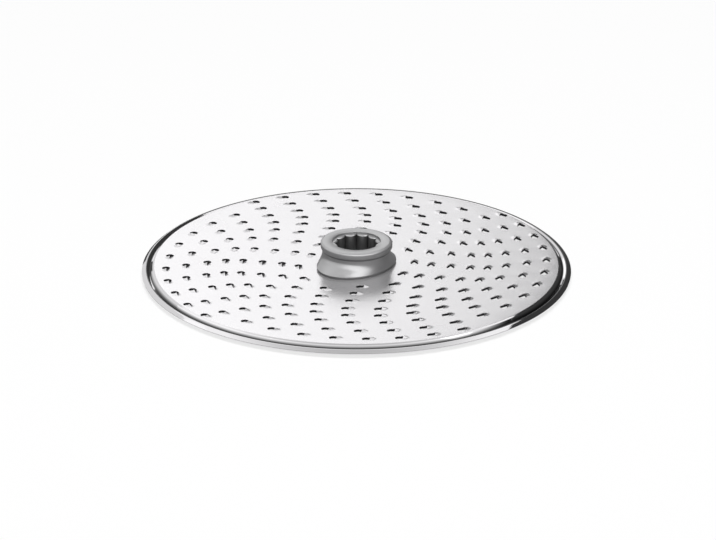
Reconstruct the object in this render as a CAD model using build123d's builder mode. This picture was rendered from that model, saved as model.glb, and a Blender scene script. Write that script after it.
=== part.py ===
"""Grating disc of a food processor: a stamped steel disc on a moulded drive hub.

The Z axis is the drive axis. The disc's cutting face looks up, and the part stands on the foot of its hub
at Z = 0. Bearings are degrees round Z, counter-clockwise from +X as seen from above. Sizes are millimetres.
"""

import os
from math import atan2, cos, degrees, hypot, pi, radians, sin, sqrt

from build123d import *

# Steel sheet and its grooved, rolled rim
DISC_DIAMETER = 125.0
SHEET = 0.75
RIM_WIDTH = 3.65
STEP_RUN = 1.25
GROOVE_DEPTH = 1.02
BEAD_RUN = 1.25
BEAD_RISE = 0.35
EDGE_DROP = 0.9

# Teeth: a round hole whose leading edge is pushed up into a creased, pointed hood
HOLE_RADIUS = 1.2
HOLE_SIDES = 8
LIP_HEIGHT = 0.5
TAIL_REACH = 2.7

# Four spiral arms of teeth, evenly spaced along each arm
ARMS = 4
RIM_MARGIN = 1.48
TOOTH_SPACING = 9.41
ARM_PITCH = 21.78
ARM_BEARING = 41.3
ARM_OFFSET = 0.38
ARM_OFFSET_BEARING = -59.3
HUB_MARGIN = 2.0

# Moulded hub, from its foot to its top ring
FOOT_HEIGHT = 2.2
FOOT_EDGE = 0.4
CLAMP_WIDTH = 1.2
COLLAR_REACH = 13.1
COLLAR_BEARING = 48.8
COLLAR_EDGE = 0.62
FLARE_HEIGHT = 3.4
WAIST_RADIUS = 10.25
WAIST_HEIGHT = 1.4
RING_RADIUS = 10.45
RING_HEIGHT = 2.05
RING_EDGE = 0.6

# Drive socket through the hub
SOCKET_TEETH = 12
SOCKET_TIP_RADIUS = 5.75
SOCKET_ROOT_RADIUS = 6.9
COUNTERBORE_RADIUS = 7.05
COUNTERBORE_DEPTH = 0.6
PILOT_DEPTH = 2.0

# Levels and radii that follow from the sizes above
face_z = FOOT_HEIGHT + SHEET
disc_radius = DISC_DIAMETER / 2
face_radius = disc_radius - RIM_WIDTH
flare_z = face_z + COLLAR_EDGE
waist_z = flare_z + FLARE_HEIGHT
ring_z = waist_z + WAIST_HEIGHT
top_z = ring_z + RING_HEIGHT


def polar_point(radius, bearing):
    """Point at a radius and a bearing round the drive axis."""
    return (radius * cos(radians(bearing)), radius * sin(radians(bearing)))


def collar_radius(bearing):
    """Radius of the collar's oval outline at a bearing."""
    turn = radians(bearing - COLLAR_BEARING)
    return COLLAR_REACH * WAIST_RADIUS / hypot(WAIST_RADIUS * cos(turn), COLLAR_REACH * sin(turn))


def tooth_places(level):
    """Places of all teeth at a level, each turned so that +X runs along the cutting direction."""
    places = []
    arm_start = face_radius - RIM_MARGIN
    for arm in range(ARMS):
        end_bearing = ARM_BEARING + 360 / ARMS * arm
        offset_bearing = radians(end_bearing + ARM_OFFSET_BEARING)
        # Every second arm starts one tooth later
        step = arm % 2
        reach = arm_start**2 - step * TOOTH_SPACING * ARM_PITCH / pi
        while reach > 0:
            radius = sqrt(reach)
            bearing = radians(end_bearing + 360 * (radius - arm_start) / ARM_PITCH)
            x = radius * cos(bearing) + ARM_OFFSET * cos(offset_bearing)
            y = radius * sin(bearing) + ARM_OFFSET * sin(offset_bearing)
            heading = degrees(atan2(y, x))
            if hypot(x, y) - HOLE_RADIUS - collar_radius(heading) > HUB_MARGIN:
                places.append(Location((x, y, level), (0, 0, heading + 90)))
            step += 1
            reach = arm_start**2 - step * TOOTH_SPACING * ARM_PITCH / pi
    return places


# Hood of one tooth: a crease that falls from the lip over the hole to the tip of the tail
with BuildPart() as tooth_hood:
    with BuildSketch(Plane.XY) as half_base:
        Polygon(
            (HOLE_RADIUS, 0),
            (TAIL_REACH, 0),
            polar_point(HOLE_RADIUS, 360 / HOLE_SIDES),
            align=None,
        )
    loft(sections=[half_base.sketch, Vertex(HOLE_RADIUS, 0, LIP_HEIGHT)])
    mirror(about=Plane.XZ)

# Steel disc: the upper side of the sheet, thickened downwards and turned round the axis
groove_radius = face_radius + STEP_RUN
groove_z = face_z - GROOVE_DEPTH
bead_radius = groove_radius + BEAD_RUN
bead_z = groove_z + BEAD_RISE
edge_z = bead_z - EDGE_DROP

with BuildPart() as grating_disc:
    with BuildSketch(Plane.XZ):
        with BuildLine():
            Polyline(
                (0, face_z),
                (face_radius, face_z),
                (groove_radius, groove_z),
                (bead_radius, bead_z),
                (disc_radius, edge_z),
            )
            offset(amount=SHEET, kind=Kind.INTERSECTION, side=Side.RIGHT)
        make_face()
    revolve(axis=Axis.Z)
    with Locations(*tooth_places(face_z)):
        add(tooth_hood.part)
    with Locations(*tooth_places(face_z - SHEET)):
        add(tooth_hood.part, mode=Mode.SUBTRACT)
    with BuildSketch(Plane.XY.offset(face_z - SHEET)):
        with Locations(*tooth_places(0)):
            RegularPolygon(HOLE_RADIUS, HOLE_SIDES)
        Ellipse(COLLAR_REACH - CLAMP_WIDTH, WAIST_RADIUS - CLAMP_WIDTH, COLLAR_BEARING)
    extrude(amount=SHEET, mode=Mode.SUBTRACT)

# Drive hub: foot, neck through the sheet's oval opening, flared collar, waist and top ring
with BuildPart() as drive_hub:
    with BuildSketch(Plane.XY):
        Ellipse(COLLAR_REACH, WAIST_RADIUS, COLLAR_BEARING)
    extrude(amount=FOOT_HEIGHT)
    chamfer(drive_hub.edges().group_by(Axis.Z)[0], length=FOOT_EDGE)
    with BuildSketch(Plane.XY.offset(FOOT_HEIGHT)):
        Ellipse(COLLAR_REACH - CLAMP_WIDTH, WAIST_RADIUS - CLAMP_WIDTH, COLLAR_BEARING)
    extrude(amount=SHEET)
    with BuildSketch(Plane.XY.offset(face_z)):
        Ellipse(COLLAR_REACH, WAIST_RADIUS, COLLAR_BEARING)
    extrude(amount=COLLAR_EDGE)
    with BuildSketch(Plane.XY.offset(flare_z)):
        Ellipse(COLLAR_REACH, WAIST_RADIUS, COLLAR_BEARING)
    with BuildSketch(Plane.XY.offset(waist_z)):
        Ellipse(WAIST_RADIUS, WAIST_RADIUS, COLLAR_BEARING)
    loft(ruled=True)
    with BuildSketch(Plane.XY.offset(waist_z)):
        Ellipse(WAIST_RADIUS, WAIST_RADIUS, COLLAR_BEARING)
    extrude(amount=WAIST_HEIGHT)
    with BuildSketch(Plane.XY.offset(ring_z)):
        Circle(RING_RADIUS)
    extrude(amount=RING_HEIGHT)
    chamfer(drive_hub.edges().group_by(Axis.Z)[-1], length=RING_EDGE)
    with BuildSketch(Plane.XY):
        with BuildLine():
            for k in range(SOCKET_TEETH):
                notch_bearing = 360 / SOCKET_TEETH * k
                half_tooth = 180 / SOCKET_TEETH
                ThreePointArc(
                    polar_point(SOCKET_ROOT_RADIUS, notch_bearing),
                    polar_point(SOCKET_TIP_RADIUS, notch_bearing + half_tooth),
                    polar_point(SOCKET_ROOT_RADIUS, notch_bearing + 2 * half_tooth),
                )
        make_face()
    extrude(amount=top_z, mode=Mode.SUBTRACT)
    with BuildSketch(Plane.XY.offset(top_z)):
        Circle(COUNTERBORE_RADIUS)
    extrude(amount=-COUNTERBORE_DEPTH, mode=Mode.SUBTRACT)
    with BuildSketch(Plane.XY):
        Circle(COUNTERBORE_RADIUS)
    extrude(amount=PILOT_DEPTH, mode=Mode.SUBTRACT)

os.makedirs("parts", exist_ok=True)
grating_disc.part.label = "grating_disc"
export_step(grating_disc.part, "parts/grating_disc.step")
drive_hub.part.label = "drive_hub"
export_step(drive_hub.part, "parts/drive_hub.step")
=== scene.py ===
"""Looks of the grating disc: stamped steel sheet with hooded teeth, moulded hub, pale studio floor."""
from math import acos, atan2, cos, hypot, pi, radians, sin, sqrt, tan

import bpy
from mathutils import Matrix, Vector
from mathutils.geometry import delaunay_2d_cdt


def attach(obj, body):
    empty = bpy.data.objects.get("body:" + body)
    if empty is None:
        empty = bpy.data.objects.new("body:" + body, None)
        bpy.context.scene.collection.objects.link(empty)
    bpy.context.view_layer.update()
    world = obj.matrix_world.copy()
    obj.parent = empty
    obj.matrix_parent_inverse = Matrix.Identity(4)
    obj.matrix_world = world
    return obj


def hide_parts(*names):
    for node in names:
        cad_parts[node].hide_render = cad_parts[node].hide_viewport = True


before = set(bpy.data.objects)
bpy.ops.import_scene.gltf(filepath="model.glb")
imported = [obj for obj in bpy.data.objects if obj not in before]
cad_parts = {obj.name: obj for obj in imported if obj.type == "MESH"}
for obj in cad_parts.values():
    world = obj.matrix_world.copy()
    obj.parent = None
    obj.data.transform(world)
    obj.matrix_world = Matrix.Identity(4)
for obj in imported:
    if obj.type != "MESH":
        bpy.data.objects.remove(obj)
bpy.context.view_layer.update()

MM = 0.001

# Sizes of the sheet and its teeth in millimetres, and bearings in degrees, as in the solids
SHEET = 0.75
FACE_Z = 2.95
FACE_RADIUS = 58.85
HOLE_CORNER_RADIUS = 1.2
LIP_HEIGHT = 0.5
TAIL_REACH = 2.7
ARMS = 4
RIM_MARGIN = 1.48
TOOTH_SPACING = 9.41
ARM_PITCH = 21.78
ARM_BEARING = 41.3
ARM_OFFSET = 0.38
ARM_OFFSET_BEARING = -59.3

# Sizes of the hub in millimetres, as in the solids
HUB_MARGIN = 2.0
COLLAR_REACH = 13.1
COLLAR_BEARING = 48.8
WAIST_RADIUS = 10.25
CLAMP_WIDTH = 1.2
RING_Z = 8.37
RING_RADIUS = 10.45
TOP_Z = 10.42
SOCKET_TEETH = 12
SOCKET_TIP = 5.75
SOCKET_ROOT = 6.9
COUNTERBORE = 7.05
COUNTERBORE_DEPTH = 0.6
PILOT_DEPTH = 2.0

# Rim as (radius, height over the face), with a deeper groove than the solid's
SHOULDER = (59.35, -0.28)
GROOVE = (60.12, -1.16)
BEAD = (61.35, -0.62)
EDGE = (62.5, -1.57)
RIM_PATH = (SHOULDER, GROOVE, BEAD, EDGE)
FLAT_START = 50.0

# Rounding of the face's edge, shoulder, groove and bead, on the upper and on the lower side
RIM_BENDS = (0.3, 0.2, 0.1, 0.7)
RIM_BENDS_BELOW = (0.15, 0.3, 0.6, 0.15)
BEND_STEPS = 6
CUT_EDGE_CORNER = 0.05
CUT_EDGE_SHARE = 0.06

# Teeth: round holes inside the corners of the solid's, with broken edges and a rounded crease
HOLE_RADIUS = 1.165
HOLE_EDGE = 0.03
CREASE_ROUNDING = 0.03
LEAST_HOOD_WIDTH = 0.1

# Hub: a hollow waist under the ring, and a flare that is straight first and then curves into the waist
WAIST_HOLLOW = 0.3
WAIST = WAIST_RADIUS - WAIST_HOLLOW
FLARE_Z = 3.72
WAIST_Z = 7.25
FLARE_STRAIGHT = 0.4
FLARE_SLOPE = 2 / (1 + FLARE_STRAIGHT)
FLARE_STEPS = 16
FLARE_EDGE = 0.04

# Rounded edges of the hub, as pairs of an inset and a height over the edge's level
FOOT_ROUNDING = ((0.45, 0.0), (0.26, 0.06), (0.08, 0.22), (0.0, 0.45))
CLAMP_ROUNDING = ((0.0, -0.08), (0.08, 0.0))
COLLAR_FOOT = ((0.2, 0.0), (0.16, 0.03))
COLLAR_TOP = ((0.0, -0.05), (0.01, -0.02), (FLARE_EDGE, 0.0))
RING_FOOT = ((0.34, 0.02), (0.2, 0.08), (0.08, 0.2), (0.0, 0.42))
WAIST_FILLET = ((0.0, -0.06), (-0.04, 0.0))
SOCKET_MOUTH = ((-0.1, 0.0), (-0.03, -0.03), (0.0, -0.1))
RING_ROUND_WIDTH = 1.0
RING_ROUND_HEIGHT = 0.62
RING_ROUND_STEPS = 8
PILOT_EDGE = 0.12

# Lead-in of the socket's teeth: shares of the way out to the counterbore, each with a depth under its floor
SOCKET_LEAD = ((0.26, 0.0), (0.04, 0.22))
SOCKET_LEAD_DEPTH = 0.3

# Mesh columns: degrees from a tooth's crease, closer together near it, and counts round the axis
TOOTH_COLUMNS = (4, 8, 13, 19, 26, 34, 44, 55, 66, 80, 95, 115, 135, 157)
RIM_COLUMNS = 288
OPENING_COLUMNS = 96
HUB_COLUMNS = 288

# Patch of the flat sheet round each tooth: its radius, its tail along the hood, and its gap to the rim
PATCH_RADIUS = 1.85
PATCH_TAIL = 1.35
PATCH_GAP = 0.08

# Flat triangulation: keep the triangles inside the outer border, and join points that are this close
INSIDE_BORDER = 1
JOIN_DISTANCE = 1e-7

# Edges sharper than these angles in degrees stay sharp
SHEET_SHARP = 38
HUB_SHARP = 35

# Steel: radii and heights in millimetres between which the finish changes, and between which the painted
# shade of the rim's groove and of a line along its bead fades in and out
RIM_POLISH = (FACE_RADIUS - 0.3, FACE_RADIUS + 0.2)
TOOTH_POLISH = (FACE_Z + 0.02, FACE_Z + 0.08)
GROOVE_SHADE_INNER_FADE = (GROOVE[0] - 0.15, GROOVE[0] - 0.67)
GROOVE_SHADE_OUTER_FADE = (GROOVE[0] + 0.06, GROOVE[0] + 0.33)
RIDGE_FADE = (FACE_Z - 1.25, FACE_Z - 1.35)
BEAD_SHADE_LINE = BEAD[0] - 0.24
BEAD_SHADE_LINE_HALF = 0.19

# Steel: metallic share and roughness of the satin face and of the polished rim and teeth, and its colours,
# of which the groove's dark one is painted shade
STEEL_METALLIC = (0.82, 1.0)
STEEL_ROUGHNESS = (0.24, 0.03)
UNEVEN_ROUGHNESS = (0.0, 0.05)
STEEL_COLOUR = (0.87, 0.86, 0.875, 1)
GROOVE_PAINTED_SHADE = (0.1, 0.1, 0.101, 1)
# Nearly black colours of the holes' walls: painted shade inside the holes, over a dull streaked finish
SHEARED_SHADE_COLOURS = ((0.01, 0.01, 0.011, 1), (0.03, 0.03, 0.032, 1))

# Plastics: their darkest and lightest greys, a slight blue tint, and the range of their roughness
HUB_GREYS = (0.43, 0.47)
# The socket's greys are near black: painted shade inside the socket
SOCKET_SHADE_GREYS = (0.06, 0.09)
BLUE_TINT = 1.01
PLASTIC_ROUGHNESS = (0.26, 0.34)

# Bands of painted shade on the hub, under the ring and along the collar's upright side: middle height and
# half height in millimetres, and the share of the colour that is left
UNDER_RING_SHADE = (RING_Z - 0.2, 0.3, 0.5)
COLLAR_SIDE_SHADE = ((FACE_Z + FLARE_Z) / 2, (FLARE_Z - FACE_Z) / 2, 0.62)

# Depth of the grain on all surfaces in metres
GRAIN_DEPTH = 0.0001

# Studio cards in metres: distance from the part, and the dark ring on the floor
CARD_REACH = 0.9
CARD_STEPS = 12
RING_CARD_STEPS = 48
RING_CARD_RADIUS = 0.0635
RING_CARD_Z = 0.0003

# Floor in metres, just under the part's foot, and how much of it is white where it is seen
FLOOR_HALF = 3
FLOOR_Z = -0.02 * MM
FLOOR_WHITE_SHARE = 0.78

# Strengths: what a second mirroring keeps, the surroundings as a light, and the surroundings as they are
# seen, which fall off between two heights on a sphere of radius one
SECOND_MIRRORING = 0.2
SURROUNDINGS_LIGHT = 0.14
OVERHEAD_HEIGHTS = (0.8, 1.0)
OVERHEAD_STRENGTHS = (1.0, 0.5)

# Key lamp in metres and watts
KEY_PLACE = (0.0, -0.15, 1.35)
KEY_SIZE = (1.0, 0.8)
KEY_WATTS = 20.0

# Camera: degrees and metres, then the lens in millimetres and the picture's shift in pixels
VIEW_ELEVATION = 22.47
VIEW_DISTANCE = 2.107
LENS = 364.0
SENSOR_WIDTH = 36.0
IMAGE_WIDTH = 716
IMAGE_SHIFT = (1.54, -5.57)
CLIP_END = 50


def oval_radius(bearing, reach, width):
    """Radius of an oval with its long axis along the collar's bearing."""
    turn = bearing - radians(COLLAR_BEARING)
    return reach * width / hypot(width * cos(turn), reach * sin(turn))


def opening_radius(bearing):
    """Radius of the sheet's centre opening, which the hub grips."""
    return oval_radius(bearing, COLLAR_REACH - CLAMP_WIDTH, WAIST_RADIUS - CLAMP_WIDTH)


def round_points(columns, radius):
    """Points round the axis in plan, with the radius as a function of the bearing."""
    bearings = [2 * pi * k / columns for k in range(columns)]
    return [(radius(b) * cos(b), radius(b) * sin(b)) for b in bearings]


def tooth_places():
    """Centre and heading of every tooth on its four spiral arms."""
    places = []
    start = FACE_RADIUS - RIM_MARGIN
    for arm in range(ARMS):
        end = ARM_BEARING + 360 / ARMS * arm
        shift = radians(end + ARM_OFFSET_BEARING)
        # Every second arm starts one tooth later
        step = arm % 2
        reach = start**2 - step * TOOTH_SPACING * ARM_PITCH / pi
        while reach > 0:
            radius = sqrt(reach)
            bearing = radians(end + 360 * (radius - start) / ARM_PITCH)
            x = radius * cos(bearing) + ARM_OFFSET * cos(shift)
            y = radius * sin(bearing) + ARM_OFFSET * sin(shift)
            heading = atan2(y, x)
            collar = oval_radius(heading, COLLAR_REACH, WAIST_RADIUS)
            if hypot(x, y) - HOLE_CORNER_RADIUS - collar > HUB_MARGIN:
                places.append((x, y, heading + pi / 2))
            step += 1
            reach = start**2 - step * TOOTH_SPACING * ARM_PITCH / pi
    return places


def tooth_bearings():
    """Bearings of the mesh columns round a tooth, in radians from its crease."""
    other_side = tuple(360 - b for b in TOOTH_COLUMNS[::-1])
    return [radians(b) for b in (0,) + TOOTH_COLUMNS + (180,) + other_side]


def hood_base(bearing):
    """Radius of a hood's outline round the hole: straight sides that run from the hole to the tail's tip."""
    touch = acos(HOLE_RADIUS / TAIL_REACH)
    off = abs((bearing + pi) % (2 * pi) - pi)
    return HOLE_RADIUS / cos(touch - off) if off < touch else HOLE_RADIUS


def hood_height(x, y):
    """Height of a tooth's creased hood over the sheet, in the tooth's own axes."""
    chord = HOLE_RADIUS**2 / TAIL_REACH
    side = HOLE_RADIUS * sqrt(1 - (HOLE_RADIUS / TAIL_REACH) ** 2)
    slope = (TAIL_REACH - chord) / (TAIL_REACH - HOLE_RADIUS) / side
    across = sqrt(y * y + CREASE_ROUNDING**2) - CREASE_ROUNDING
    along = (TAIL_REACH - x) / (TAIL_REACH - HOLE_RADIUS)
    return LIP_HEIGHT * max(0.0, along - slope * across) if x > chord else 0.0


def tooth_ring(tooth, radius, share, level):
    """Points round a tooth, a share of the way from a radius to the foot of its hood."""
    x, y, heading = tooth
    points = []
    for b in tooth_bearings():
        reach = radius + share * (max(hood_base(b), radius + LEAST_HOOD_WIDTH) - radius)
        px, py = reach * cos(b), reach * sin(b)
        point = (
            x + px * cos(heading) - py * sin(heading),
            y + px * sin(heading) + py * cos(heading),
            level + hood_height(px, py),
        )
        points.append(point)
    return points


def rounded_path(points, bends):
    """A polyline of (radius, z) points with each inner corner turned into an arc."""
    path = [points[0]]
    for before, corner, after, bend in zip(points, points[1:], points[2:], bends):
        a = Vector(before) - Vector(corner)
        b = Vector(after) - Vector(corner)
        half = a.angle(b) / 2
        setback = bend / tan(half)
        middle = (a.normalized() + b.normalized()).normalized()
        centre = Vector(corner) + middle * (bend / sin(half))
        first = Vector(corner) + a.normalized() * setback - centre
        last = Vector(corner) + b.normalized() * setback - centre
        for k in range(BEND_STEPS + 1):
            spoke = first.lerp(last, k / BEND_STEPS).normalized() * bend
            path.append(tuple(centre + spoke))
    path.append(points[-1])
    return path


def mitred(points, gap):
    """The corners of a polyline moved to its lower side by a gap, square at both ends."""
    sides = []
    for a, b in zip(points, points[1:]):
        along = Vector((b[0] - a[0], b[1] - a[1])).normalized()
        sides.append(Vector((along.y, -along.x)))
    moved = []
    for corner, before, after in zip(points, sides[:1] + sides, sides + sides[-1:]):
        middle = (before + after).normalized()
        moved.append(tuple(Vector(corner) + middle * (gap / middle.dot(before))))
    return moved


def added(verts, points):
    """Add points to a mesh's list of points, and give their numbers there."""
    verts.extend(points)
    return list(range(len(verts) - len(points), len(verts)))


def band(first, second):
    """Faces that join two rings of points."""
    following = zip(first[1:] + first[:1], second[1:] + second[:1])
    return [(a, b, c, d) for a, d, (b, c) in zip(first, second, following)]


def turned_over(faces):
    """The same four-sided faces, looking the other way."""
    return [(a, d, c, b) for a, b, c, d in faces]


def mesh_object(name, verts, faces, materials, sharp_angle, second_faces):
    """A smooth-shaded mesh piece that rides with the part, with some faces in its second material."""
    mesh = bpy.data.meshes.new(name)
    mesh.from_pydata([(x * MM, y * MM, z * MM) for x, y, z in verts], [], faces)
    for material in materials:
        mesh.materials.append(material)
    for k in second_faces:
        mesh.polygons[k].material_index = 1
    mesh.validate()
    mesh.polygons.foreach_set("use_smooth", [True] * len(mesh.polygons))
    mesh.set_sharp_from_angle(angle=radians(sharp_angle))
    mesh.update()
    piece = bpy.data.objects.new(name, mesh)
    bpy.context.scene.collection.objects.link(piece)
    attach(piece, "root")
    return piece


def node(tree, kind, **values):
    """A shader node with its sockets or settings filled in."""
    made = tree.nodes.new(kind)
    for key, value in values.items():
        if key in made.inputs:
            made.inputs[key].default_value = value
        else:
            setattr(made, key, value)
    return made


def fill(tree, socket, value):
    """Link a socket to another node's output, or set it to a plain value."""
    if isinstance(value, bpy.types.NodeSocket):
        tree.links.new(value, socket)
    else:
        socket.default_value = value


def ramp(tree, value, source=(0.0, 1.0), target=(0.0, 1.0), unit=1.0, **settings):
    """A value carried over from a source range to a target range, and held at its ends."""
    made = node(tree, "ShaderNodeMapRange", **settings)
    fill(tree, made.inputs["Value"], value)
    for name, number in zip(("From Min", "From Max"), source):
        made.inputs[name].default_value = number * unit
    for name, number in zip(("To Min", "To Max"), target):
        fill(tree, made.inputs[name], number)
    return made.outputs["Result"]


def calculated(tree, operation, *values):
    """The result of a Math node on linked or plain values."""
    made = node(tree, "ShaderNodeMath", operation=operation)
    for socket, value in zip(made.inputs, values):
        fill(tree, socket, value)
    return made.outputs["Value"]


def mixed(tree, factor, first, second, **settings):
    """The result of a colour Mix node on linked or plain values."""
    made = node(tree, "ShaderNodeMix", data_type="RGBA", **settings)
    for name, value in (("Factor", factor), ("A", first), ("B", second)):
        fill(tree, made.inputs[name], value)
    return made.outputs["Result"]


def coordinate(tree, place, axis):
    """One coordinate of a place."""
    parts = node(tree, "ShaderNodeSeparateXYZ")
    tree.links.new(place, parts.inputs["Vector"])
    return parts.outputs[axis]


def scaled(tree, place, scale):
    """A place with its three coordinates scaled."""
    mapping = node(tree, "ShaderNodeMapping", Scale=scale)
    tree.links.new(place, mapping.inputs["Vector"])
    return mapping.outputs["Vector"]


def noise(tree, place, scale, detail):
    """A cloudy noise between nought and one."""
    cloud = node(tree, "ShaderNodeTexNoise", Scale=scale, Detail=detail)
    tree.links.new(place, cloud.inputs["Vector"])
    return cloud.outputs["Fac"]


def add_grain(tree, shader, height, strength):
    """Give a shader a fine surface grain."""
    bump = node(tree, "ShaderNodeBump", Strength=strength, Distance=GRAIN_DEPTH)
    tree.links.new(height, bump.inputs["Height"])
    tree.links.new(bump.outputs["Normal"], shader.inputs["Normal"])


def new_material(name):
    """A material, its node tree, its shader and the place on the object that it is coloured by."""
    material = bpy.data.materials.new(name)
    material.use_nodes = True
    tree = material.node_tree
    place = node(tree, "ShaderNodeTexCoord").outputs["Object"]
    return material, tree, tree.nodes["Principled BSDF"], place


def steel_material():
    """Bright stainless sheet with faint rolling marks, slightly uneven polish, and dark lines of painted
    shade in the rim's groove and along its bead.
    """
    material, tree, shader, place = new_material("polished_steel")
    height = coordinate(tree, place, "Z")
    spoke = node(tree, "ShaderNodeVectorMath", operation="LENGTH")
    tree.links.new(scaled(tree, place, scale=(1.0, 1.0, 0.0)), spoke.inputs[0])
    radius = spoke.outputs["Value"]

    # The rolled rim and the teeth, which stand over the face, are more polished than the face
    rim = ramp(tree, radius, RIM_POLISH, unit=MM)
    raised = ramp(tree, height, TOOTH_POLISH, unit=MM)
    polish = calculated(tree, "MAXIMUM", rim, raised)
    tree.links.new(ramp(tree, polish, target=STEEL_METALLIC), shader.inputs["Metallic"])
    even = ramp(tree, polish, target=STEEL_ROUGHNESS)
    uneven = ramp(tree, noise(tree, place, scale=55.0, detail=3.0), target=UNEVEN_ROUGHNESS)
    tree.links.new(calculated(tree, "ADD", even, uneven), shader.inputs["Roughness"])

    # Painted shade: the groove's bottom and a line along the bead are darkened in the colour, standing in
    # for their shade and dark reflections, but not the ridge under them
    step = ramp(tree, radius, GROOVE_SHADE_INNER_FADE, unit=MM)
    bead = ramp(tree, radius, GROOVE_SHADE_OUTER_FADE, unit=MM)
    line = calculated(tree, "COMPARE", radius, BEAD_SHADE_LINE * MM, BEAD_SHADE_LINE_HALF * MM)
    above = calculated(tree, "MAXIMUM", step, calculated(tree, "SUBTRACT", bead, line))
    clear = calculated(tree, "MAXIMUM", above, ramp(tree, height, RIDGE_FADE, unit=MM))
    tree.links.new(mixed(tree, clear, GROOVE_PAINTED_SHADE, STEEL_COLOUR), shader.inputs["Base Color"])

    rolled = scaled(tree, place, scale=(120.0, 2600.0, 120.0))
    add_grain(tree, shader, noise(tree, rolled, scale=1.0, detail=2.0), strength=0.02)
    return material


def sheared_material():
    """Punched holes' walls: dull steel streaked along the punch's travel, made nearly black as painted shade
    inside the holes.
    """
    material, tree, shader, place = new_material("sheared_steel_painted_shade")
    shader.inputs["Metallic"].default_value = 0.8
    shader.inputs["Roughness"].default_value = 0.55
    punched = scaled(tree, place, scale=(4000.0, 4000.0, 500.0))
    streaks = noise(tree, punched, scale=1.0, detail=2.0)
    tree.links.new(mixed(tree, streaks, *SHEARED_SHADE_COLOURS), shader.inputs["Base Color"])
    return material


def plastic_material(name, greys, metallic, shade_bands=()):
    """Satin grey moulding with a fine spark-eroded grain, darkened by painted shade in bands at the given
    heights.
    """
    material, tree, shader, place = new_material(name)
    shader.inputs["Metallic"].default_value = metallic
    cloud = noise(tree, place, scale=180.0, detail=4.0)
    colour = mixed(tree, cloud, *((grey, grey, grey * BLUE_TINT, 1) for grey in greys))
    height = coordinate(tree, place, "Z")
    # Painted shade: the colour is darkened in each band, such as under the ring and along the collar's side
    for middle, half, left in shade_bands:
        crease = calculated(tree, "COMPARE", height, middle * MM, half * MM)
        colour = mixed(tree, crease, colour, (left, left, left, 1), blend_type="MULTIPLY")
    tree.links.new(colour, shader.inputs["Base Color"])
    tree.links.new(ramp(tree, cloud, target=PLASTIC_ROUGHNESS), shader.inputs["Roughness"])
    add_grain(tree, shader, noise(tree, place, scale=3200.0, detail=2.0), strength=0.06)
    return material


def sheet_plan(teeth, flat_radius):
    """Points of the sheet's flat part in plan, and their loops: round the teeth, the opening and the rim."""
    outlines = []
    for x, y, heading in teeth:
        patch = []
        for b in tooth_bearings():
            reach = PATCH_RADIUS + PATCH_TAIL * max(0.0, cos(b)) ** 3
            px = x + reach * cos(b + heading)
            py = y + reach * sin(b + heading)
            keep = min(1.0, (flat_radius - PATCH_GAP) / hypot(px, py))
            patch.append((px * keep, py * keep))
        outlines.append(patch)
    outlines.append(round_points(OPENING_COLUMNS, opening_radius))
    outlines.append(round_points(RIM_COLUMNS, lambda b: flat_radius))
    plan = []
    loops = [added(plan, outline) for outline in outlines]
    return plan, loops


def flat_triangles(plan, loops):
    """Triangles between the loops of a plan, of which the last is the outer border."""
    edges, owner = [], {}
    for number, loop in enumerate(loops):
        edges += zip(loop, loop[1:] + loop[:1])
        if loop is not loops[-1]:
            owner.update((v, number) for v in loop)
    found = delaunay_2d_cdt([Vector(p) for p in plan], edges, [], INSIDE_BORDER, JOIN_DISTANCE)
    triangles, sources = found[2:4]
    flat = []
    for triangle in triangles:
        corners = tuple(sources[v][0] for v in triangle)
        owners = {owner.get(v) for v in corners}
        # A triangle with all its corners on one inner loop lies in a hole
        if len(owners) > 1 or None in owners:
            flat.append(corners)
    return flat


def rim_profile(rim_top, rim_below):
    """The rim's section from the face outwards, round the cut edge's broken corners, and back below."""
    tip, root = Vector(rim_top[-1]), Vector(rim_below[-1])
    down = (tip - Vector(rim_top[-2])).normalized() * CUT_EDGE_CORNER
    upper = tip.lerp(root, CUT_EDGE_SHARE)
    lower = tip.lerp(root, 1 - CUT_EDGE_SHARE)
    cut_edge = [tuple(point) for point in (tip - down, upper, lower, root - down)]
    return rim_top[1:-1] + cut_edge + rim_below[-2:0:-1]


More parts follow.
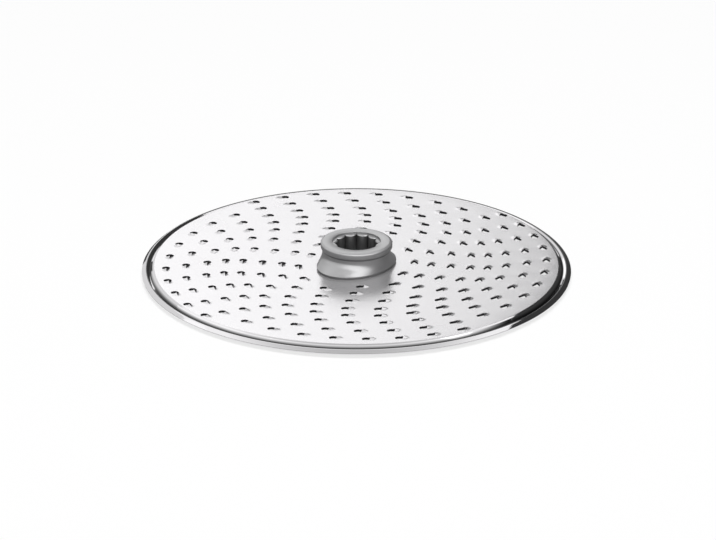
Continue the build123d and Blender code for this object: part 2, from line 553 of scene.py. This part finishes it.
def steel_disc(polished, sheared):
    """The whole sheet as one closed mesh: face, teeth, grooved rim, underside and centre opening."""
    verts, faces, walls = [], [], []
    teeth = tooth_places()
    below = FACE_Z - SHEET
    # The section starts well inside the flat face, and that first point is left out again
    corners = ((FLAT_START, 0.0), (FACE_RADIUS, 0.0)) + RIM_PATH
    rim_top = rounded_path(corners, RIM_BENDS)[1:]
    rim_below = rounded_path(mitred(corners, SHEET), RIM_BENDS_BELOW)[1:]

    # Flat part of the sheet, above and below, and the edge of its centre opening, which the hub covers
    plan, loops = sheet_plan(teeth, rim_top[0][0])
    opening, border = loops[-2:]
    count = len(plan)
    inner = min(1.0, rim_below[0][0] / rim_top[0][0])
    verts += [(x, y, FACE_Z) for x, y in plan]
    verts += [(x, y, below) for x, y in plan[: border[0]]]
    verts += [(x * inner, y * inner, below) for x, y in plan[border[0] :]]
    flat = flat_triangles(plan, loops)
    faces += flat
    faces += [(c + count, b + count, a + count) for a, b, c in flat]
    for a, b in zip(opening, opening[1:] + opening[:1]):
        faces.append((b, a, a + count, b + count))

    # Teeth: rings from the flat in to the hole's edge, down the hole's wall, and out again on the lower side
    edge = HOLE_RADIUS + HOLE_EDGE
    levels = (FACE_Z - HOLE_EDGE, below + HOLE_EDGE)
    for tooth, loop in zip(teeth, loops):
        top = [added(verts, tooth_ring(tooth, edge, share, FACE_Z)) for share in (0.0, 0.33, 0.67, 1.0)]
        wall = [added(verts, tooth_ring(tooth, HOLE_RADIUS, 0.0, level)) for level in levels]
        under = [added(verts, tooth_ring(tooth, edge, share, below)) for share in (0.0, 0.5, 1.0)]
        order = [loop] + top[::-1] + wall + under + [[v + count for v in loop]]
        for first, second in zip(order, order[1:]):
            # The holes' walls take the second material, whose nearly black colour is painted shade
            if first is wall[0]:
                walls += range(len(faces), len(faces) + len(loop))
            faces += band(first, second)

    # Grooved and rolled rim
    previous = border
    for r, z in rim_profile(rim_top, rim_below):
        ring = [(x, y, FACE_Z + z) for x, y in round_points(RIM_COLUMNS, lambda b: r)]
        current = added(verts, ring)
        faces += turned_over(band(previous, current))
        previous = current
    faces += turned_over(band(previous, [v + count for v in border]))

    piece = mesh_object("steel_disc", verts, faces, (polished, sheared), SHEET_SHARP, walls)
    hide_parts("grating_disc")


def socket_radius(bearing):
    """Radius of the socket's wall: twelve rounded teeth that point inwards."""
    pitch = 2 * pi / SOCKET_TEETH
    turn = (bearing % pitch) - pitch / 2
    chord = SOCKET_ROOT * cos(pitch / 2)
    half = SOCKET_ROOT * sin(pitch / 2)
    rise = chord - SOCKET_TIP
    bow = (half**2 + rise**2) / (2 * rise)
    centre = SOCKET_TIP + bow
    return centre * cos(turn) - sqrt(max(0.0, bow**2 - (centre * sin(turn)) ** 2))


def flare_share(t):
    """How much of the collar's reach is left at a share of the flare's height."""
    if t < FLARE_STRAIGHT:
        return 1 - FLARE_SLOPE * t
    return FLARE_SLOPE * (1 - t) ** 2 / (2 - 2 * FLARE_STRAIGHT)


def oval_row(inset, z, share=1.0):
    """A row of the hub with the collar's oval outline, or with a share of its reach past the waist."""
    reach = WAIST + share * (COLLAR_REACH - WAIST) - inset
    width = WAIST + share * WAIST_HOLLOW - inset
    return (lambda b: oval_radius(b, reach, width)), z


def circle_row(radius, z):
    """A round row of the hub."""
    return (lambda b: radius), z


def socket_row(share, z):
    """A row of the hub with the socket's outline, or a share of the way from it to the counterbore."""
    return (lambda b: socket_radius(b) + share * (COUNTERBORE - socket_radius(b))), z


def outer_rows():
    """Rows of the hub from its foot up to the top of its ring."""
    below = FACE_Z - SHEET
    # Foot, and the neck that grips the sheet
    rows = [circle_row(COUNTERBORE + PILOT_EDGE, 0.0)]
    rows += [oval_row(inset, rise) for inset, rise in FOOT_ROUNDING]
    rows += [oval_row(inset, below + rise) for inset, rise in CLAMP_ROUNDING]
    rows += [oval_row(CLAMP_WIDTH, z) for z in (below, FACE_Z)]
    # Collar: a short upright edge that rounds over into the flare
    rows += [oval_row(inset, FACE_Z + rise) for inset, rise in COLLAR_FOOT]
    rows += [oval_row(inset, FLARE_Z + rise) for inset, rise in COLLAR_TOP]
    for k in range(1, FLARE_STEPS + 1):
        t = k / FLARE_STEPS
        rows.append(oval_row(FLARE_EDGE * (1 - t), FLARE_Z + (WAIST_Z - FLARE_Z) * t, flare_share(t)))
    # Waist, and the ring with its rounded lower and upper edges
    rows += [circle_row(WAIST - inset, RING_Z + rise) for inset, rise in WAIST_FILLET]
    rows += [circle_row(RING_RADIUS - inset, RING_Z + rise) for inset, rise in RING_FOOT]
    for k in range(RING_ROUND_STEPS + 1):
        a = pi / 2 * k / RING_ROUND_STEPS
        radius = RING_RADIUS - RING_ROUND_WIDTH + RING_ROUND_WIDTH * cos(a)
        rows.append(circle_row(radius, TOP_Z - RING_ROUND_HEIGHT + RING_ROUND_HEIGHT * sin(a)))
    return rows


def drive_hub(outside, inside):
    """The moulding as one closed surface: rows of rings from the foot up, over the top and down inside."""
    floor_z = TOP_Z - COUNTERBORE_DEPTH
    rows = outer_rows()
    rows += [circle_row(COUNTERBORE - inset, TOP_Z + rise) for inset, rise in SOCKET_MOUTH]
    rows.append(circle_row(COUNTERBORE, floor_z))
    rows += [socket_row(share, floor_z - depth) for share, depth in SOCKET_LEAD]
    wall = len(rows)
    rows += [socket_row(0.0, z) for z in (floor_z - SOCKET_LEAD_DEPTH, PILOT_DEPTH)]
    rows += [circle_row(COUNTERBORE, z) for z in (PILOT_DEPTH, PILOT_EDGE)]

    verts, faces, rings = [], [], []
    for radius, z in rows:
        rings.append(added(verts, [(x, y, z) for x, y in round_points(HUB_COLUMNS, radius)]))
    for first, second in zip(rings, rings[1:] + rings[:1]):
        faces += band(first, second)
    # The socket's walls take the second material, a near-black copy of the plastic that paints the shade
    # inside the socket
    wall_faces = range(wall * HUB_COLUMNS, (wall + 1) * HUB_COLUMNS)
    piece = mesh_object("hub_moulding", verts, faces, (outside, inside), HUB_SHARP, wall_faces)
    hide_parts("drive_hub")


def card(name, verts, faces, strength=1.0):
    """A studio card out of the picture, seen only in reflections."""
    material = bpy.data.materials.new(name)
    material.use_nodes = True
    tree = material.node_tree
    tree.nodes.clear()
    out = node(tree, "ShaderNodeOutputMaterial")
    glow = node(tree, "ShaderNodeEmission", Strength=strength)
    tree.links.new(glow.outputs["Emission"], out.inputs["Surface"])
    mesh = bpy.data.meshes.new(name)
    mesh.from_pydata(verts, [], faces)
    mesh.materials.append(material)
    panel = bpy.data.objects.new(name, mesh)
    bpy.context.scene.collection.objects.link(panel)
    panel.visible_camera = False
    panel.visible_diffuse = False
    panel.visible_shadow = False
    panel.visible_transmission = False
    return tree, glow.inputs["Strength"]


def curved_card(name, azimuths, elevations, strength=1.0):
    """A card bent round the part between two azimuths from the back and two elevations, in degrees."""
    first, last = azimuths
    verts = []
    for k in range(CARD_STEPS + 1):
        turn = radians(first + (last - first) * k / CARD_STEPS)
        for lift in map(radians, elevations):
            out = CARD_REACH * cos(lift)
            verts.append((out * sin(turn), out * cos(turn), CARD_REACH * sin(lift)))
    faces = [(2 * k, 2 * k + 2, 2 * k + 3, 2 * k + 1) for k in range(CARD_STEPS)]
    return card(name, verts, faces, strength)


def first_mirroring(tree, level, strength):
    """Let a card show at its full strength in a first mirroring, and dimly by way of a second surface."""
    depth = node(tree, "ShaderNodeLightPath").outputs["Ray Depth"]
    share = ramp(tree, depth, (1.0, 2.0), (1.0, SECOND_MIRRORING))
    tree.links.new(calculated(tree, "MULTIPLY", share, strength), level)


def spot(tree, middle, distances, strengths):
    """A strength that changes with the distance from a middle point of a card."""
    away = node(tree, "ShaderNodeVectorMath", operation="DISTANCE")
    tree.links.new(node(tree, "ShaderNodeTexCoord").outputs["Object"], away.inputs[0])
    away.inputs[1].default_value = middle
    return ramp(tree, away.outputs["Value"], distances, strengths, interpolation_type="SMOOTHSTEP")


def backdrop():
    """The card that the flat steel mirrors: bright at its left end and falling off to the right."""
    left, right = -0.18, 0.094
    low, high = 0.19, 0.62
    back = 0.8
    verts = [(left, back, low), (right, back, low), (right, back, high), (left, back, high)]
    tree, level = card("backdrop", verts, [(0, 1, 2, 3)])
    across = coordinate(tree, node(tree, "ShaderNodeTexCoord").outputs["Object"], "X")
    tree.links.new(ramp(tree, across, source=(-0.1, 0.1), target=(1.24, 0.93)), level)


def bounce(name, azimuths, elevations, strength):
    """A white card that is dimmed after its first mirroring."""
    tree, level = curved_card(name, azimuths, elevations)
    first_mirroring(tree, level, strength)


def softbox(name, azimuths, elevations):
    """A part of the front softbox, whose hot spot is in front of the hub and a little to the right."""
    tree, level = curved_card(name, azimuths, elevations)
    hot_spot = spot(tree, middle=(0.14, -0.66, 0.5), distances=(0.28, 1.0), strengths=(2.5, 1.0))
    first_mirroring(tree, level, hot_spot)


def flag_right_end():
    """The end of the right flag, which fades from black to white."""
    tree, level = curved_card("flag_right_end", azimuths=(78, 102), elevations=(19, 44))
    fade = spot(tree, middle=(0.76, 0.16, 0.45), distances=(0.05, 0.42), strengths=(0.01, 1.0))
    tree.links.new(fade, level)


def flag_floor():
    """A dark ring on the floor round the part."""
    verts = []
    for k in range(RING_CARD_STEPS):
        turn = 2 * pi * k / RING_CARD_STEPS
        verts += [(r * cos(turn), r * sin(turn), RING_CARD_Z) for r in (RING_CARD_RADIUS, CARD_REACH)]
    numbers = list(range(len(verts)))
    inner, outer = numbers[::2], numbers[1::2]
    card("flag_floor", verts, turned_over(band(inner, outer)), strength=0.06)


def background_rays(tree, nearest):
    """One where the camera, a glossy surface or a clear one sees the background, and nought elsewhere.

    A ray that one surface has mirrored comes in at the nearest depth. A mirror image in a mirror image
    shows the background more dimly.
    """
    rays = node(tree, "ShaderNodeLightPath").outputs
    seen = rays["Is Camera Ray"]
    for name in ("Is Glossy Ray", "Is Transmission Ray"):
        seen = calculated(tree, "MAXIMUM", seen, rays[name])
    not_diffuse = calculated(tree, "LESS_THAN", rays["Diffuse Depth"], 0.5)
    share = ramp(tree, rays["Ray Depth"], (nearest, nearest + 1), (1.0, SECOND_MIRRORING))
    return calculated(tree, "MULTIPLY", calculated(tree, "MULTIPLY", seen, not_diffuse), share)


def pale_floor():
    """A pale matt floor that takes the part's shadow and is nearly white where it is seen."""
    mesh = bpy.data.meshes.new("floor")
    verts = [(x * FLOOR_HALF, y * FLOOR_HALF, FLOOR_Z) for x, y in ((-1, -1), (1, -1), (1, 1), (-1, 1))]
    mesh.from_pydata(verts, [], [(0, 1, 2, 3)])
    floor = bpy.data.objects.new("floor", mesh)
    bpy.context.scene.collection.objects.link(floor)
    material = bpy.data.materials.new("pale_floor")
    material.use_nodes = True
    tree = material.node_tree
    shader = tree.nodes["Principled BSDF"]
    shader.inputs["Base Color"].default_value = (0.9, 0.9, 0.9, 1)
    shader.inputs["Roughness"].default_value = 0.9
    shader.inputs["Specular IOR Level"].default_value = 0.0
    glow = node(tree, "ShaderNodeEmission", Strength=1.0)
    mix = node(tree, "ShaderNodeMixShader")
    white = ramp(tree, background_rays(tree, nearest=1), target=(0.0, FLOOR_WHITE_SHARE))
    tree.links.new(white, mix.inputs["Fac"])
    tree.links.new(shader.outputs["BSDF"], mix.inputs[1])
    tree.links.new(glow.outputs["Emission"], mix.inputs[2])
    tree.links.new(mix.outputs["Shader"], tree.nodes["Material Output"].inputs["Surface"])
    mesh.materials.append(material)


def surroundings():
    """White surroundings, greyer overhead, which light the part only dimly."""
    world = bpy.data.worlds.new("studio")
    bpy.context.scene.world = world
    world.use_nodes = True
    tree = world.node_tree
    back = tree.nodes["Background"]
    back.inputs["Color"].default_value = (1, 1, 1, 1)
    height = coordinate(tree, node(tree, "ShaderNodeTexCoord").outputs["Generated"], "Z")
    white = ramp(tree, height, OVERHEAD_HEIGHTS, OVERHEAD_STRENGTHS)
    strength = ramp(tree, background_rays(tree, nearest=2), target=(SURROUNDINGS_LIGHT, white))
    tree.links.new(strength, back.inputs["Strength"])


def key_lamp():
    """A large soft lamp over the part, which isn't mirrored in it."""
    lamp = bpy.data.lights.new("key", "AREA")
    lamp.shape = "RECTANGLE"
    lamp.size, lamp.size_y = KEY_SIZE
    lamp.energy = KEY_WATTS
    key = bpy.data.objects.new("key", lamp)
    key.location = KEY_PLACE
    key.rotation_euler = (Vector((0, 0, 0)) - key.location).to_track_quat("-Z", "Y").to_euler()
    key.visible_glossy = False
    bpy.context.scene.collection.objects.link(key)


def studio():
    """Floor, surroundings, lamp and the cards that shape the reflections."""
    pale_floor()
    surroundings()
    key_lamp()
    backdrop()
    curved_card("flag_right", azimuths=(6.0, 78), elevations=(-1, 44), strength=0.04)
    curved_card("flag_back_low", azimuths=(-10.5, 6.0), elevations=(0, 12.5), strength=0.1)
    bounce("bounce_left", azimuths=(-120, -62), elevations=(0, 45), strength=1.1)
    bounce("bounce_back_left", azimuths=(-62, -12), elevations=(0, 37), strength=0.74)
    curved_card("flag_front_right", azimuths=(78, 112), elevations=(0, 19), strength=0.06)
    softbox("softbox_low", azimuths=(112, 240), elevations=(2, 19))
    flag_right_end()
    softbox("softbox_front", azimuths=(102, 240), elevations=(19, 50))
    flag_floor()


def camera():
    """The photograph's viewpoint: a long lens looking down at the cutting face."""
    elevation = radians(VIEW_ELEVATION)
    data = bpy.data.cameras.new("camera")
    data.sensor_fit = "HORIZONTAL"
    data.sensor_width = SENSOR_WIDTH
    data.lens = LENS
    data.shift_x, data.shift_y = (pixels / IMAGE_WIDTH for pixels in IMAGE_SHIFT)
    data.clip_end = CLIP_END
    eye = bpy.data.objects.new("camera", data)
    height = FACE_Z * MM + VIEW_DISTANCE * sin(elevation)
    eye.location = (0, -VIEW_DISTANCE * cos(elevation), height)
    eye.rotation_euler = (pi / 2 - elevation, 0, 0)
    bpy.context.scene.collection.objects.link(eye)
    bpy.context.scene.camera = eye


camera()
steel_disc(steel_material(), sheared_material())
# Painted shade under the ring and along the collar's side
hub_shade_bands = (UNDER_RING_SHADE, COLLAR_SIDE_SHADE)
satin_plastic = plastic_material("satin_grey_plastic", HUB_GREYS, metallic=0.6, shade_bands=hub_shade_bands)
# A near-black copy of the plastic, as painted shade on the socket's walls
socket_painted_shade = plastic_material("socket_painted_shade", SOCKET_SHADE_GREYS, metallic=0.0)
drive_hub(satin_plastic, socket_painted_shade)
studio()
bpy.context.scene.view_settings.view_transform = "Standard"
